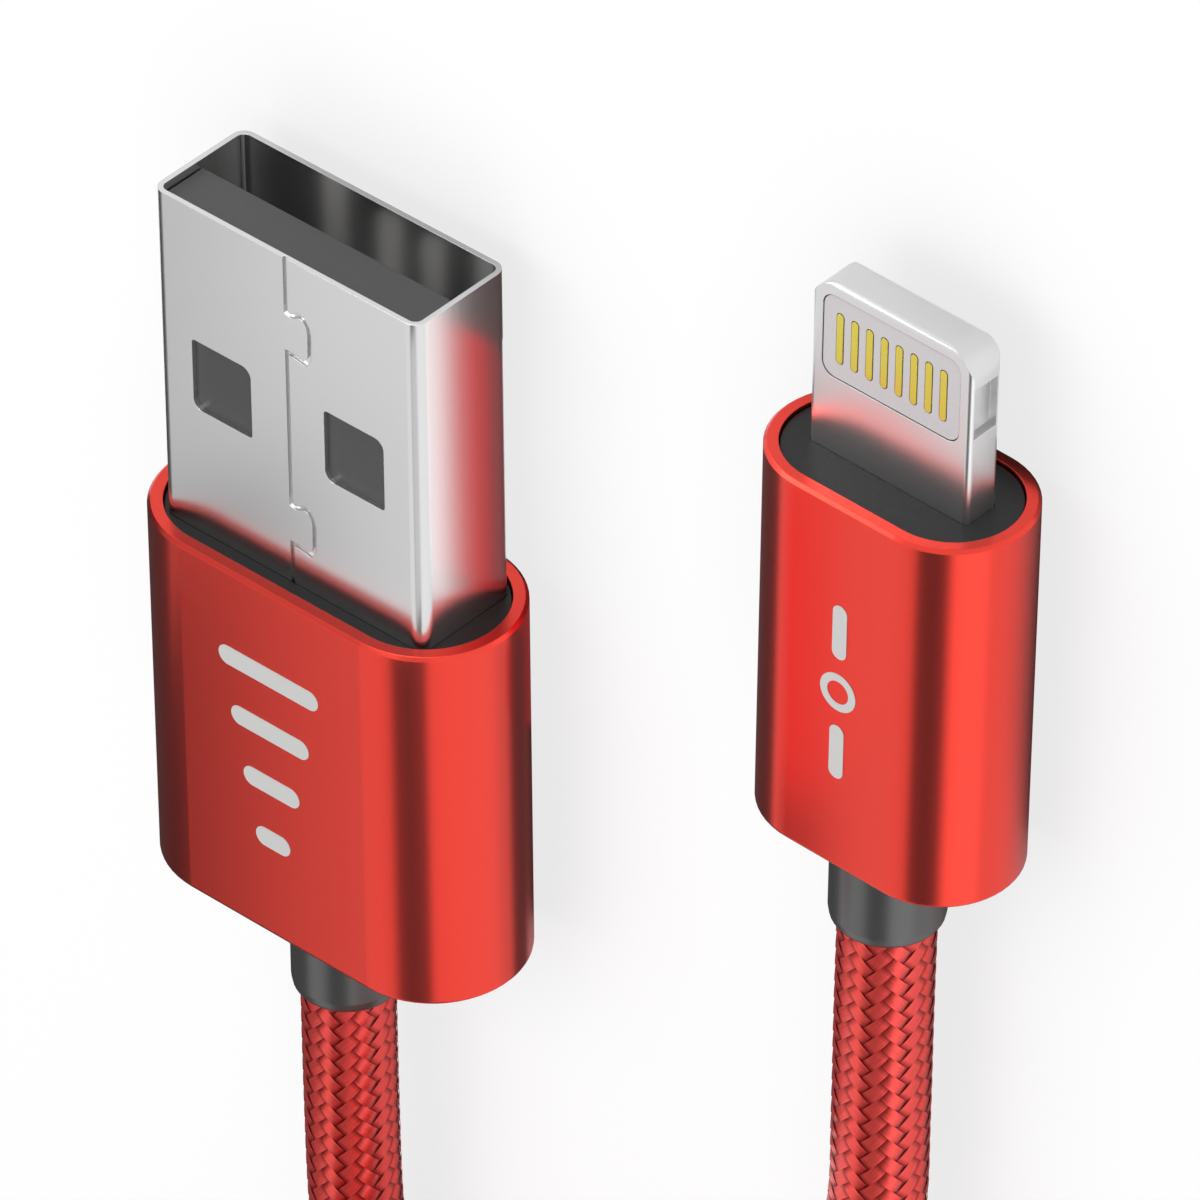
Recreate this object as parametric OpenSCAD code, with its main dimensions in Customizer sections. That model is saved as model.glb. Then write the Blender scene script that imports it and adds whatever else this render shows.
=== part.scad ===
// Charging cable: a USB-A plug and a slim eight-contact plug lie side by side, their cord wound into a coil behind them.
// Millimetres. +X is to the right, +Y is towards the plugs' tips and +Z is up. Both housings rest on z = 0.

/* [USB plug] */
// Width of the steel shell
shell_w = 12; // [11.5:0.1:13]
// Height of the steel shell
shell_h = 4.5; // [4.2:0.1:4.9]
// Length of shell in front of the housing
shell_l = 13.5; // [12.5:0.5:16]
// Thickness of the shell's sheet
shell_wall = 0.2; // [0.15:0.05:0.4]
// Outer radius of the shell's folded corners
shell_r = 0.5; // [0.45:0.05:0.8]
// Width of each latch window
window_w = 2.7; // [2:0.1:3]
// Length of each latch window
window_l = 2.9; // [2:0.1:3.5]
// Distance from the shell's middle line to a window's middle
window_x = 3.02; // [2.8:0.02:3.6]
// Distance from the shell's mouth to a window's middle
window_y = 7; // [6.8:0.1:7.3]
// Thickness of the contact tongue
tongue_t = 2.05; // [1.6:0.05:2.1]
// Depth of the socket space below the tongue
socket_depth = 12; // [11.5:0.1:12.4]
// Width of a contact strip
contact_w = 1; // [0.8:0.05:1.3]
// Thickness of a contact strip
contact_t = 0.25; // [0.2:0.05:0.3]
// Width of the housing
usb_housing_w = 15.2; // [14.8:0.2:18]
// Height of the housing
usb_housing_h = 6.9; // [6.7:0.1:9]
// Length of the housing
usb_housing_l = 15.2; // [14.6:0.2:20]
// Wall of the housing
usb_wall = 0.55; // [0.4:0.05:0.6]
// Depth of the insert's face inside the housing's mouth
usb_recess = 0.2; // [0.1:0.1:0.8]
// Length of the strain relief behind the housing
usb_collar_l = 4; // [3:0.5:6]

/* [Slim plug] */
// Width of the steel tab
tab_w = 6.7; // [6.4:0.1:7.2]
// Thickness of the steel tab
tab_t = 1.5; // [1.4:0.05:1.8]
// Length of tab in front of the housing
tab_l = 6.6; // [6:0.1:8]
// Radius of the tab's front corners in plan
tab_r = 1.05; // [0.6:0.05:1.4]
// Rounding of the tab's long edges
tab_edge = 0.2; // [0.1:0.02:0.3]
// Width of the contact carrier
carrier_w = 5.72; // [5.4:0.02:5.8]
// Length of the contact carrier
carrier_l = 3.25; // [3:0.05:3.6]
// Distance from the tab's tip to the carrier
carrier_y = 0.45; // [0.4:0.05:1]
// Distance between neighbouring contacts
pin_pitch = 0.62; // [0.56:0.01:0.65]
// Width of a contact
pin_w = 0.27; // [0.24:0.01:0.36]
// Length of a contact
pin_l = 2; // [1.6:0.05:2.4]
// Depth of the latch notch in each side of the tab
notch_depth = 0.28; // [0.2:0.02:0.42]
// Width of the housing
slim_housing_w = 10; // [9.8:0.1:13]
// Height of the housing
slim_housing_h = 5.8; // [5.6:0.1:8]
// Length of the housing
slim_housing_l = 15; // [14.4:0.2:20]
// Wall of the housing
slim_wall = 0.5; // [0.4:0.05:0.55]
// Depth of the insert's face inside the housing's mouth
slim_recess = 0.15; // [0.1:0.05:0.6]
// Length of the strain relief behind the housing
slim_collar_l = 3.85; // [3:0.05:6]

/* [Both plugs] */
// Distance between the plugs' axes
plug_dx = 24.78; // [20:0.01:40]
// How far the tab's tip is ahead of the shell's mouth
plug_dy = 8.67; // [0:0.01:12]
// Turn of the slim plug on the table, in degrees
slim_turn = -1.36; // [-4:0.01:4]
// Bevel of a housing's front edge
edge_bevel = 0.12; // [0.05:0.01:0.2]
// Rounding of a housing's rear edge
rear_round = 0.15; // [0.1:0.05:0.5]
// Thickness of a housing's rear wall
rear_wall = 0.8; // [0.5:0.1:1.2]
// Outside diameter of a strain relief
collar_d = 4; // [3.9:0.1:4.8]
// Clearance between pieces that fit into each other
fit = 0.05; // [0.02:0.01:0.08]

/* [Cord] */
// Diameter over the braid
cord_d = 3.4; // [3:0.1:3.6]
// Radius of the coil's outermost turn, at the cord's middle
coil_r = 23; // [21:0.5:26]
// Layers of turns in the coil
coil_layers = 4; // [2:2:4]
// Space between neighbouring turns
coil_gap = 0.6; // [0.55:0.05:0.9]

/* [Hidden] */
$fn = 64;

// Distances behind each plug's tip
usb_rear = shell_l + usb_housing_l;
usb_end = usb_rear + usb_collar_l;
slim_rear = tab_l + slim_housing_l;
slim_end = slim_rear + slim_collar_l;

// Places of the plugs' axes, so that the plugs' box is centred on X = 0, Y = 0
usb_z = usb_housing_h / 2;
slim_z = slim_housing_h / 2;
slim_right = slim_housing_w / 2 * cos(slim_turn) + max(tab_l * sin(slim_turn), slim_rear * sin(slim_turn));
tip_rise = (tab_w / 2 - tab_r) * abs(sin(slim_turn)) + tab_r * (1 - cos(slim_turn));
usb_x = (usb_housing_w / 2 - plug_dx - slim_right) / 2;
usb_y = (usb_end - plug_dy - tip_rise) / 2;
slim_x = usb_x + plug_dx;
slim_y = usb_y + plug_dy;

// Inside the USB plug
shell_in = 5;
insert_l = 1.5;
insert_gap = 0.01;
shell_end = shell_l + shell_in;
bore_w = shell_w - 2 * shell_wall;
bore_h = shell_h - 2 * shell_wall;
bore_r = shell_r - shell_wall;
tongue_setback = 0.35;
tongue_top = bore_h / 2;
tongue_bottom = tongue_top - tongue_t;
seam_x = 0.05;
seam_w = 0.16;
seam_depth = 0.5 * shell_wall;
window_r_large = 0.4;
window_r_small = 0.15;
contact_x = [-3.5, -1, 1, 3.5];
contact_long = 1.2;
contact_short = 2.2;
contact_proud = 0.05;
contact_tail = 2;
usb_wire_d = 0.9;
usb_wire_strip = 0.4;
usb_wire_l = 4.5;
usb_jacket = shell_end + usb_wire_l;
usb_insert = shell_l + usb_recess;
chamber_side = 0.5;
chamber_r = 0.4;
usb_chamber_h = 3.2;
lock_y = [3.05, 11.15];

// Inside the slim plug
tab_ledge_w = 0.45;
tab_ledge_t = 0.75;
tab_flange_w = tab_w + 2 * tab_ledge_w;
tab_flange_t = tab_t + 2 * tab_ledge_t;
tab_flange_l = 1.2;
slim_insert = tab_l + slim_recess;
flange_y = slim_insert + insert_l;
board_w = 6.4;
board_neck_w = 5;
board_t = 0.6;
board_y = flange_y + tab_flange_l;
board_l = 6;
can_side = 0.4;
can_w = board_w + 2 * can_side;
can_h = 3;
can_r = 0.3;
can_wall = 0.15;
can_l = 7;
chip_w = 2.5;
chip_h = 0.8;
chip_y = 0.8;
capacitor = [1, 0.5, 0.5];
capacitor_x = 1.4;
capacitor_y = 2;
tip_web = 0.3;
pin_gap = 0.03;
carrier_r = 0.5;
carrier_sink = 0.04;
notch_from = 1.36;
notch_to = 3.37;
notch_h = tab_t - 2 * tab_edge;
slim_wire_d = 0.6;
slim_wire_x = [-1.8, -0.6, 0.6, 1.8];
slim_wire_lap = 1.3;
slim_wire_straight = 1.5;
slim_wire_l = 1.7;
slim_jacket = board_y + can_l + slim_wire_l;
slim_chamber_h = 2.4;

// Straight end of each wire at the jacket
wire_end = 0.5;

// Strain reliefs
flange_l = 1.1;
flange_gap = 0.1;
collar_round = 0.45;
behind_mould = rear_wall + flange_l + flange_gap;

// Insides of the housings: their ends are round, or squarer where a wide plug needs the room
web = 0.1;
function inside_r(w, h, bar_w, bar_h, bar_r) =
    let (side = max((w - bar_w) / 2 - web, 0), over = max((h - bar_h) / 2 - web, 0))
    min(h / 2, bar_r + web + side + over + sqrt(2 * side * over));
usb_inside_w = usb_housing_w - 2 * usb_wall;
usb_inside_h = usb_housing_h - 2 * usb_wall;
usb_inside_r = inside_r(usb_inside_w, usb_inside_h, shell_w + 2 * fit, shell_h + 2 * fit, shell_r + fit);
slim_inside_w = slim_housing_w - 2 * slim_wall;
slim_inside_h = slim_housing_h - 2 * slim_wall;
slim_inside_r = inside_r(slim_inside_w, slim_inside_h, tab_flange_w + 2 * fit, tab_flange_t + 2 * fit, tab_edge);

// ---- Outlines and shared shapes ----

module at_usb() {
    translate([usb_x, usb_y, usb_z]) children();
}

module at_slim() {
    translate([slim_x, slim_y, slim_z]) rotate([0, 0, slim_turn]) children();
}

// Runs an X-Z outline backwards, between two distances behind the tip
module back(from, to) {
    translate([0, -from, 0]) rotate([90, 0, 0]) linear_extrude(to - from) children();
}

// Raises an X-Y outline between two heights
module rise(from, to) {
    translate([0, 0, from]) linear_extrude(to - from) children();
}

module stadium(w, h) {
    square([w - h, h], center = true);
    for (s = [-1, 1]) translate([s * (w - h) / 2, 0]) circle(d = h);
}

module rounded(w, h, r) {
    square([w - 2 * r, h], center = true);
    if (h > 2 * r) square([w, h - 2 * r], center = true);
    for (x = [-1, 1], y = h > 2 * r ? [-1, 1] : [0]) translate([x * (w / 2 - r), y * (h / 2 - r)]) circle(r);
}

// A round-ended bar with a bevelled front edge and a rounded rear edge, made of revolved corners and the bars between
function edge_line(r, l) = concat(
    [[0, 0], [r - edge_bevel, 0], [r, edge_bevel]],
    [for (a = [0 : 22.5 : 90]) [r - rear_round + rear_round * cos(a), l - rear_round + rear_round * sin(a)]],
    [[0, l]]
);

module bar(w, h, r, from, l) {
    for (x = [-1, 1], z = h > 2 * r ? [-1, 1] : [0]) translate([x * (w / 2 - r), -from, z * (h / 2 - r)])
        rotate([90, 0, 0]) rotate_extrude() polygon(edge_line(r, l));
    translate([r - w / 2, -from, 0]) rotate([0, 90, 0]) linear_extrude(w - 2 * r)
        for (s = [-1, 1]) polygon([for (p = edge_line(h / 2, l)) [s * p[0], -p[1]]]);
    if (h > 2 * r) translate([0, -from, r - h / 2]) linear_extrude(h - 2 * r)
        for (s = [-1, 1]) polygon([for (p = edge_line(w / 2, l)) [s * p[0], -p[1]]]);
}

module housing(w, h, wall, r, from, l) {
    difference() {
        bar(w, h, r + wall, from, l);
        back(from - 1, from + l - rear_wall) rounded(w - 2 * wall, h - 2 * wall, r);
        back(from, from + l + 1) circle(d = collar_d + 2 * fit);
    }
}

// A collar round the cord, with a flange that the housing's rear wall holds in
module strain_relief(w, h, round, rear, collar_l) {
    r = collar_d / 2;
    bore = cord_d / 2 + fit / 2;
    inner = rear - rear_wall;
    l = rear_wall + collar_l;
    difference() {
        union() {
            back(inner - flange_l, inner) rounded(w - 2 * fit, h - 2 * fit, round - fit);
            translate([0, -inner, 0]) rotate([90, 0, 0]) rotate_extrude() polygon([
                [0, 0],
                [r, 0],
                [r, l - collar_round],
                [r - collar_round * 0.1, l - collar_round * 0.4],
                [(r + bore) / 2, l - collar_round * 0.1],
                [bore, l],
                [0, l]
            ]);
        }
        back(inner - flange_l - 1, rear + collar_l + 1) circle(bore);
    }
}

module jacket_end(from, to) {
    back(from, to) circle(d = cord_d);
}

// ---- Tubes ----

function unit(v) = v / norm(v);

// A smooth curve through p that leaves along a and arrives along b
function curve(p, a, b, steps) =
    let (
        n = len(p),
        q = concat([p[1] - 2 * norm(p[1] - p[0]) * a], p, [p[n - 2] + 2 * norm(p[n - 1] - p[n - 2]) * b])
    )
    concat([p[0]], [
        for (i = [0 : n - 2], k = [1 : steps])
            let (s = k / steps)
            q[i + 1]
                + (q[i + 2] - q[i]) * s / 2
                + (2 * q[i] - 5 * q[i + 1] + 4 * q[i + 2] - q[i + 3]) * s * s / 2
                + (3 * q[i + 1] - q[i] - 3 * q[i + 2] + q[i + 3]) * s * s * s / 2
    ]);

// The corners of one ring of a tube, with a corner straight below the middle
function ring(middle, along, r, sides) =
    let (side = unit(cross(along, [0, 0, 1])), up = cross(side, along))
    [for (k = [0 : sides - 1]) middle + r * (cos(360 * k / sides - 90) * side + sin(360 * k / sides - 90) * up)];

// A tube along the points p, its first face square to a and its last square to b
module tube(p, a, b, d, sides) {
    n = len(p);
    rings = [
        for (i = [0 : n - 1])
            ring(p[i], i == 0 ? a : i == n - 1 ? b : unit(unit(p[i + 1] - p[i]) + unit(p[i] - p[i - 1])), d / 2, sides)
    ];
    corners = [for (r = rings, c = r) c];
    walls = [
        for (i = [0 : n - 2], k = [0 : sides - 1], half = [0, 1])
            let (m = (k + 1) % sides, lo = i * sides, hi = lo + sides)
            half == 0 ? [lo + k, hi + k, hi + m] : [lo + k, hi + m, lo + m]
    ];
    caps = [
        for (k = [1 : sides - 2], far = [0, 1])
            let (o = (n - 1) * sides)
            far == 0 ? [0, k, k + 1] : [o, o + k + 1, o + k]
    ];
    polyhedron(corners, concat(walls, caps));
}

// Wires that start side by side and meet in a square bundle at the cord's jacket
function bundle(i, r) = [i < 2 ? -r : r, i == 0 || i == 3 ? -r : r];

module wire(x, z, from, straight, jacket, i, d) {
    end = bundle(i, d * 0.62);
    route = [
        [x, -from, z],
        [x, -from - straight, z],
        [(x + end[0]) / 2, -(from + straight + jacket) / 2, (z + end[1]) / 2],
        [end[0], -jacket + wire_end, end[1]],
        [end[0], -jacket, end[1]]
    ];
    tube(curve(route, [0, -1, 0], [0, -1, 0], 3), [0, -1, 0], [0, -1, 0], d, 8);
}

// ---- USB plug ----

module window() {
    difference() {
        square([window_w, window_l], center = true);
        for (s = [0, 180]) rotate(s) {
            corner_cut(window_r_large);
            mirror([1, 0]) corner_cut(window_r_small);
        }
    }
}

// What a rounded corner leaves off the window's upper right corner
module corner_cut(r) {
    translate([window_w / 2 - r, window_l / 2 - r]) difference() {
        square(r + 1);
        circle(r);
    }
}

// The seam where the folded sheet meets, with its two dovetail locks
function dovetail(y) = [
    for (p = [
        [0, 0.8], [0.24, 0.74], [0.6, 0.92], [0.82, 0.86], [1, 0.6], [1.05, 0.3],
        [1.03, -0.65], [0.82, -0.97], [0.6, -0.93], [0.25, -0.87], [0, -0.87]
    ])
        [seam_x + p[0], y + p[1]]
];
seam = concat([[seam_x, 1]], dovetail(-lock_y[0]), dovetail(-lock_y[1]), [[seam_x, -shell_end - 1]]);
// The mitred step sideways at point i of a line, per unit of offset
function beside(p, i) =
    let (
        last = len(p) - 1,
        a = unit(p[max(i, 1)] - p[max(i, 1) - 1]),
        b = unit(p[min(i, last - 1) + 1] - p[min(i, last - 1)])
    )
    [-a[1] - b[1], a[0] + b[0]] / (1 + a * b);
function band(p, w) = concat(
    [for (i = [0 : len(p) - 1]) p[i] + beside(p, i) * w / 2],
    [for (i = [len(p) - 1 : -1 : 0]) p[i] - beside(p, i) * w / 2]
);

module usb_shell() {
    color("#c9cacc") at_usb() difference() {
        back(0, shell_end) rounded(shell_w, shell_h, shell_r);
        back(-1, shell_end + 1) rounded(bore_w, bore_h, bore_r);
        for (s = [-1, 1]) translate([s * window_x, -window_y]) rise(-shell_h, shell_h) window();
        rise(shell_h / 2 - seam_depth, shell_h) polygon(band(seam, seam_w));
    }
}

// Where a contact strip lies in the tongue and runs out behind it
module strip(x, w, from, to) {
    r = w / 4;
    translate([x - w / 2, -to]) square([w, to - from - r]);
    translate([x - w / 2 + r, -from - r]) square([w - 2 * r, r]);
    for (s = [-1, 1]) translate([x + s * (w / 2 - r), -from - r]) circle(r);
}

module usb_contact(i) {
    from = (i == 0 || i == 3) ? contact_long : contact_short;
    at_usb() rise(tongue_bottom - contact_proud, tongue_bottom - contact_proud + contact_t)
        strip(contact_x[i], contact_w, from, shell_end + contact_tail);
}

module usb_tongue() {
    color("#3f4144") at_usb() difference() {
        intersection() {
            back(tongue_setback, shell_end) rounded(bore_w - 2 * fit, bore_h, bore_r);
            union() {
                back(0, shell_end) translate([-shell_w / 2, tongue_bottom]) square([shell_w, tongue_t + 1]);
                back(socket_depth, shell_end + 1) translate([-shell_w / 2, fit - bore_h / 2]) square([shell_w, bore_h]);
            }
        }
        for (i = [0 : 3]) rise(tongue_bottom - contact_proud - fit, tongue_bottom - contact_proud + contact_t)
            strip(contact_x[i], contact_w + 2 * fit, (i == 0 || i == 3) ? contact_long - fit : contact_short - fit, shell_end + 1);
    }
}

module usb_contact_power() {
    color("#d9b24a") usb_contact(3);
}

module usb_contact_data_minus() {
    color("#d9b24a") usb_contact(2);
}

module usb_contact_data_plus() {
    color("#d9b24a") usb_contact(1);
}

module usb_contact_ground() {
    color("#d9b24a") usb_contact(0);
}

// What fills the housing's inside, with a clearance all round
module usb_filling() {
    rounded(usb_inside_w - 2 * fit, usb_inside_h - 2 * fit, usb_inside_r - fit);
}

module usb_front_insert() {
    color("#38393c") at_usb() difference() {
        back(usb_insert, usb_insert + insert_l) usb_filling();
        back(usb_insert - 1, usb_insert + insert_l + 1) rounded(shell_w + 2 * insert_gap, shell_h + 2 * insert_gap, shell_r + insert_gap);
    }
}

module usb_housing() {
    color("#d6241f") at_usb() housing(usb_housing_w, usb_housing_h, usb_wall, usb_inside_r, shell_l, usb_housing_l);
}

module usb_inner_mould() {
    color("#e6e3da") at_usb() difference() {
        back(usb_insert + insert_l, usb_rear - behind_mould) usb_filling();
        back(usb_insert, shell_end) rounded(shell_w + 2 * fit, shell_h + 2 * fit, shell_r + fit);
        back(shell_end - 1, usb_jacket) rounded(2 * contact_x[3] + contact_w + 2 * chamber_side, usb_chamber_h, chamber_r);
        back(usb_jacket - 1, usb_rear) circle(d = cord_d + fit);
    }
}

module usb_strain_relief() {
    color("#3a3b3e") at_usb() strain_relief(usb_inside_w, usb_inside_h, usb_inside_r, usb_rear, usb_collar_l);
}

module usb_wire(i) {
    at_usb() wire(
        contact_x[i], tongue_bottom - contact_proud + contact_t + usb_wire_d / 2,
        shell_end + usb_wire_strip, contact_tail - usb_wire_strip, usb_jacket, i, usb_wire_d
    );
}

module usb_wire_power() {
    color("#c02020") usb_wire(3);
}

module usb_wire_data_minus() {
    color("#f0f0f0") usb_wire(2);
}

module usb_wire_data_plus() {
    color("#2f8a3c") usb_wire(1);
}

module usb_wire_ground() {
    color("#202020") usb_wire(0);
}

module usb_jacket_end() {
    color("#b8201c") at_usb() jacket_end(usb_jacket, usb_end);
}

// ---- Slim plug ----

module carrier_outline(grow) {
    translate([0, -carrier_y - carrier_l / 2]) rounded(carrier_w + 2 * grow, carrier_l + 2 * grow, carrier_r);
}

module pins(grow) {
    for (k = [-3.5 : 1 : 3.5]) translate([k * pin_pitch, -carrier_y - carrier_l / 2])
        rotate(90) stadium(pin_l + 2 * grow, pin_w + 2 * grow);
}

// The latch notch, as high as the flat of the tab's side
module notch() {
    for (s = [-1, 1]) mirror([s < 0 ? 1 : 0, 0, 0]) rise(-notch_h / 2, notch_h / 2) polygon([
        [tab_w / 2 + 1, -notch_from],
        [tab_w / 2 - notch_depth, -notch_from],
        [tab_w / 2 - notch_depth, -notch_to + notch_depth / 3],
        [tab_w / 2, -notch_to],
        [tab_w / 2 + 1, -notch_to]
    ]);
}

module board_slot(w, t) {
    back(carrier_y + tip_web, board_y + 1) square([w, t], center = true);
}

module slim_tab() {
    color("#cfd0d2") at_slim() difference() {
        union() {
            intersection() {
                back(0, board_y) rounded(tab_w, tab_t, tab_edge);
                rise(-tab_t, tab_t) translate([0, tab_r - board_y]) rounded(tab_w, 2 * board_y - 2 * tab_r, tab_r);
                translate([-tab_w, 0, 0]) rotate([0, 90, 0]) linear_extrude(2 * tab_w)
                    translate([0, tab_edge - board_y]) rounded(tab_t, 2 * board_y - 2 * tab_edge, tab_edge);
            }
            back(flange_y, board_y) rounded(tab_flange_w, tab_flange_t, tab_edge);
        }
        rise(-tab_t, tab_t) carrier_outline(fit / 2);
        notch();
        back(carrier_y + carrier_l / 2, board_y + 1) square([board_neck_w + 2 * fit, board_t + 2 * fit], center = true);
    }
}

module slim_contact_carrier() {
    color("#c9c8c4") at_slim() difference() {
        rise(-tab_t / 2 + carrier_sink, tab_t / 2 - carrier_sink) carrier_outline(0);
        rise(-tab_t, tab_t) pins(pin_gap);
        board_slot(board_neck_w + fit, board_t + fit);
    }
}

module slim_contacts(side) {
    at_slim() mirror([0, 0, side < 0 ? 1 : 0]) rise(board_t / 2, tab_t / 2 - carrier_sink / 2) pins(0);
}

module slim_contacts_top() {
    color("#dcae3c") slim_contacts(1);
}

module slim_contacts_bottom() {
    color("#dcae3c") slim_contacts(-1);
}

module slim_circuit_board() {
    color("#1f6a44") at_slim() rise(-board_t / 2, board_t / 2) union() {
        translate([-board_neck_w / 2, -board_y - board_t]) square([board_neck_w, board_y + board_t - carrier_y - tip_web - fit]);
        translate([-board_w / 2, -board_y - board_l]) square([board_w, board_l - fit]);
    }
}

module slim_controller_chip() {
    color("#26272a") at_slim() rise(board_t / 2, board_t / 2 + chip_h)
        translate([-chip_w / 2, -board_y - chip_y - chip_w]) square(chip_w);
}

module slim_capacitors() {
    color("#b79a6b") at_slim() for (s = [-1, 1])
        translate([s * capacitor_x - capacitor[0] / 2, -board_y - capacitor_y, -board_t / 2 - capacitor[2]]) cube(capacitor);
}

module slim_shield_can() {
    color("#b9babd") at_slim() difference() {
        back(board_y, board_y + can_l) rounded(can_w, can_h, can_r);
        back(board_y - 1, board_y + can_l + 1) rounded(can_w - 2 * can_wall, can_h - 2 * can_wall, can_r - can_wall);
    }
}

module slim_filling() {
    rounded(slim_inside_w - 2 * fit, slim_inside_h - 2 * fit, slim_inside_r - fit);
}

module slim_front_insert() {
    color("#38393c") at_slim() difference() {
        back(slim_insert, flange_y) slim_filling();
        back(slim_insert - 1, flange_y + 1) rounded(tab_w + 2 * insert_gap, tab_t + 2 * insert_gap, tab_edge);
    }
}

module slim_housing() {
    color("#d6241f") at_slim() housing(slim_housing_w, slim_housing_h, slim_wall, slim_inside_r, tab_l, slim_housing_l);
}

module slim_inner_mould() {
    color("#e6e3da") at_slim() difference() {
        back(flange_y, slim_rear - behind_mould) slim_filling();
        back(flange_y - 1, board_y + can_l) rounded(tab_flange_w + 2 * fit, tab_flange_t + 2 * fit, tab_edge);
        back(board_y, slim_jacket) rounded(2 * (slim_wire_x[3] + slim_wire_d / 2 + chamber_side), slim_chamber_h, chamber_r);
        back(slim_jacket - 1, slim_rear) circle(d = cord_d + fit);
    }
}

module slim_strain_relief() {
    color("#3a3b3e") at_slim() strain_relief(slim_inside_w, slim_inside_h, slim_inside_r, slim_rear, slim_collar_l);
}

module slim_wire(i) {
    at_slim() wire(
        slim_wire_x[i], board_t / 2 + slim_wire_d / 2,
        board_y + board_l - slim_wire_lap, slim_wire_straight, slim_jacket, i, slim_wire_d
    );
}

module slim_wire_power() {
    color("#c02020") slim_wire(3);
}

module slim_wire_data_minus() {
    color("#f0f0f0") slim_wire(2);
}

module slim_wire_data_plus() {
    color("#2f8a3c") slim_wire(1);
}

module slim_wire_ground() {
    color("#202020") slim_wire(0);
}

module slim_jacket_end() {
    color("#b8201c") at_slim() jacket_end(slim_jacket, slim_end);
}

// ---- Cord ----

// The coil: turns that spiral in and out again, and climb a layer in the half turn where the spiral reverses
coil_middle = [5.5, -60];
coil_from = 153;
coil_to = 48;
coil_turns = 2 * coil_layers + (coil_to - coil_from) / 360;
coil_pitch = cord_d + coil_gap;
per_layer = coil_turns / coil_layers;
loop_rings = 24;
function ramp(s) = let (c = min(max(s, 0), 1)) c * c * (3 - 2 * c);
function sum(v, i = 0) = i < len(v) ? v[i] + sum(v, i + 1) : 0;
// How far in from the outermost turn the cord is after t turns, its reversals rounded over half a turn
function inward(t) =
    let (
        k = min(floor(t / per_layer), coil_layers - 1),
        u = t - k * per_layer,
        before = k > 0 ? max(0.25 - u, 0) : 0,
        after = k < coil_layers - 1 ? max(0.25 - per_layer + u, 0) : 0,
        soft = 2 * (after * after - before * before)
    )
    k % 2 == 0 ? u - soft : per_layer - u + soft;
function layer(t) = sum([for (k = [1 : coil_layers - 1]) ramp((t - k * per_layer) / 0.5 + 0.5)]);
function coil_point(t) =
    let (a = coil_from + 360 * t, r = coil_r - coil_pitch * inward(t))
    [coil_middle[0] + r * cos(a), coil_middle[1] + r * sin(a), cord_d / 2 + coil_pitch * layer(t)];
function heading(a) = [-sin(a), cos(a), 0];
coil_in = heading(coil_from);
coil_out = heading(coil_to);
coil_rings = round(coil_turns * loop_rings);
coil_turned = [for (i = [0 : coil_rings]) coil_point(coil_turns * i / coil_rings)];
coil_start = coil_turned[0] - coil_in * cord_d;
coil_finish = coil_turned[coil_rings] + coil_out * cord_d;
coil_route = concat([coil_start], coil_turned, [coil_finish]);

// The stretches between the strain reliefs and the coil
usb_exit = [usb_x, usb_y - usb_end, usb_z];
slim_back = [sin(slim_turn), -cos(slim_turn), 0];
slim_exit = [slim_x, slim_y, slim_z] + slim_back * slim_end;
usb_points = concat([usb_exit], [
    [-11, -26, 3.45],
    [-11, -31, 3.35],
    [-11.2, -36, 2.7],
    [-11.7, -41, 1.95]
], [coil_start]);
slim_points = concat([slim_exit], [
    [13.05, -9, 2.9],
    [12.95, -14, 2.9],
    [12.85, -18, 3],
    [12.8, -22, 4.3],
    [12.8, -26, 6.6],
    [12.9, -30, 9.2],
    [13.6, -33.5, 11.3],
    [15.2, -37, 12.9]
], [coil_finish]);
usb_route = curve(usb_points, [0, -1, 0], coil_in, 2);
slim_route = curve(slim_points, slim_back, -coil_out, 2);

function length(p) = sum([for (i = [1 : len(p) - 1]) norm(p[i] - p[i - 1])]);
function reversed(p) = [for (i = [len(p) - 1 : -1 : 0]) p[i]];
cord_route = concat(usb_route, coil_turned, reversed(slim_route));
least_gap = min([
    for (i = [0 : len(cord_route) - 1], j = [i + 8 : 1 : len(cord_route) - 1])
        norm(cord_route[i] - cord_route[j])
]) - cord_d;
echo(cord_length = length(cord_route), least_gap = least_gap, coil_turns = coil_turns);

module cord_usb_stretch() {
    color("#cf2a26") tube(usb_route, [0, -1, 0], coil_in, cord_d, 8);
}

module cord_coil() {
    color("#cf2a26") tube(coil_route, coil_in, coil_out, cord_d, 6);
}

module cord_slim_stretch() {
    color("#cf2a26") tube(slim_route, slim_back, -coil_out, cord_d, 8);
}

usb_shell();
usb_tongue();
usb_contact_power();
usb_contact_data_minus();
usb_contact_data_plus();
usb_contact_ground();
usb_front_insert();
usb_housing();
usb_inner_mould();
usb_strain_relief();
usb_wire_power();
usb_wire_data_minus();
usb_wire_data_plus();
usb_wire_ground();
usb_jacket_end();
slim_tab();
slim_contact_carrier();
slim_contacts_top();
slim_contacts_bottom();
slim_circuit_board();
slim_controller_chip();
slim_capacitors();
slim_shield_can();
slim_front_insert();
slim_housing();
slim_inner_mould();
slim_strain_relief();
slim_wire_power();
slim_wire_data_minus();
slim_wire_data_plus();
slim_wire_ground();
slim_jacket_end();
cord_usb_stretch();
cord_coil();
cord_slim_stretch();
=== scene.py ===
# %% [markdown]
# # Charging cable
# A USB-A plug and a slim eight-contact plug lie side by side on a table, and their braided cord is wound into
# a coil behind them. The plugs come from the CAD model, which is loaded as it is. This script gives them
# their finishes and makes what CAD leaves plain: the woven cord and the printed marks.

# %% Load the CAD model
import math

import bpy
import numpy as np
from mathutils import Matrix, Vector


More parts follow.
